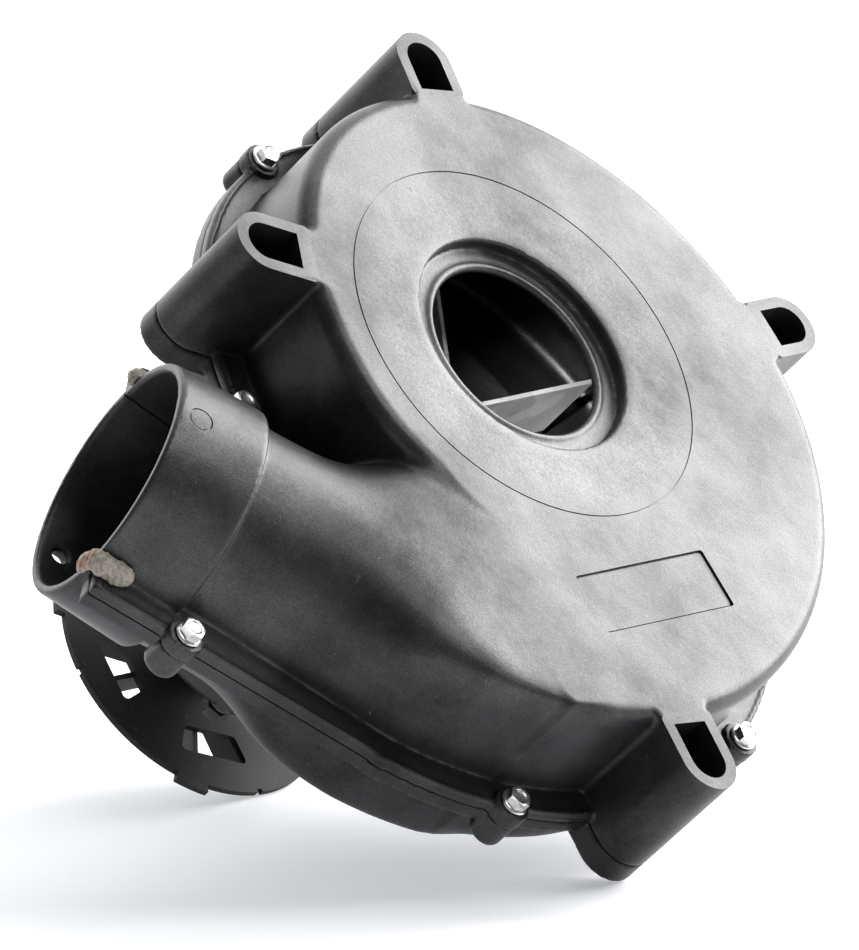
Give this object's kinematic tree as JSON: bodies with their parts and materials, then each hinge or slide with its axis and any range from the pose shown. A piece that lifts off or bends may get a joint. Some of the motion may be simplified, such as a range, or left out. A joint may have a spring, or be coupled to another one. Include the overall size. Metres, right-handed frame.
{
  "type": "combustion fan",
  "caption": "Draft-inducer fan: black plastic scroll housing with hollow mounting posts and a round outlet pipe, paddle impeller, and an open motor with a cooling disc behind.",
  "frame": {"origin": "centre of the inlet, in the plane of the front face and of the posts' end faces, which is the mounting plane", "axes": "+Z along the shaft out of the inlet, -X out of the outlet pipe, +Y completes a right-handed frame and points away from the outlet pipe"},
  "size_m": [0.2301, 0.2663, 0.184],
  "materials": {
    "housing_plastic": "moulded black plastic with a satin sheen",
    "fan_plastic": "matte black plastic",
    "impeller_steel": "dull plated steel sheet",
    "zinc_plate": "bright zinc plating",
    "machined_steel": "turned steel",
    "motor_paint": "satin black enamel on sheet steel",
    "laminated_steel": "stacked steel sheets under clear varnish",
    "enamelled_copper": "enamelled copper wire",
    "bearing_bronze": "oiled sintered bronze",
    "seal_felt": "pressed felt",
    "gland_rubber": "soft black rubber",
    "sealant": "cured grey-brown sealant"
  },
  "bodies": {
    "housing_and_motor": {"front_housing": "housing_plastic", "rear_housing": "housing_plastic", "sealant_outer": "sealant", "sealant_inner": "sealant", "housing_screw_1": "zinc_plate", "housing_screw_2": "zinc_plate", "housing_screw_3": "zinc_plate", "housing_screw_4": "zinc_plate", "housing_screw_5": "zinc_plate", "housing_screw_6": "zinc_plate", "housing_screw_7": "zinc_plate", "shaft_seal": "seal_felt", "seal_ring": "zinc_plate", "front_end_bell": "motor_paint", "rear_end_bell": "motor_paint", "front_bearing": "bearing_bronze", "rear_bearing": "bearing_bronze", "stator_core": "laminated_steel", "lead_gland": "gland_rubber", "coil_1": "enamelled_copper", "coil_2": "enamelled_copper", "coil_3": "enamelled_copper", "coil_4": "enamelled_copper", "through_bolt_1": "zinc_plate", "motor_spacer_1": "machined_steel", "through_bolt_2": "zinc_plate", "motor_spacer_2": "machined_steel", "through_bolt_3": "zinc_plate", "motor_spacer_3": "machined_steel", "through_bolt_4": "zinc_plate", "motor_spacer_4": "machined_steel"},
    "rotor": {"motor_shaft": "machined_steel", "impeller": "impeller_steel", "impeller_insert": "machined_steel", "impeller_clip": "zinc_plate", "heat_slinger": "zinc_plate", "rotor_core": "laminated_steel", "cooling_fan": "fan_plastic", "fan_clip": "zinc_plate"}
  },
  "joints": [
    {"name": "rotor_spin", "type": "hinge", "parent": "housing_and_motor", "child": "rotor", "pos_m": [0, 0, 0], "axis": [0, 0, 1], "continuous": true}
  ]
}
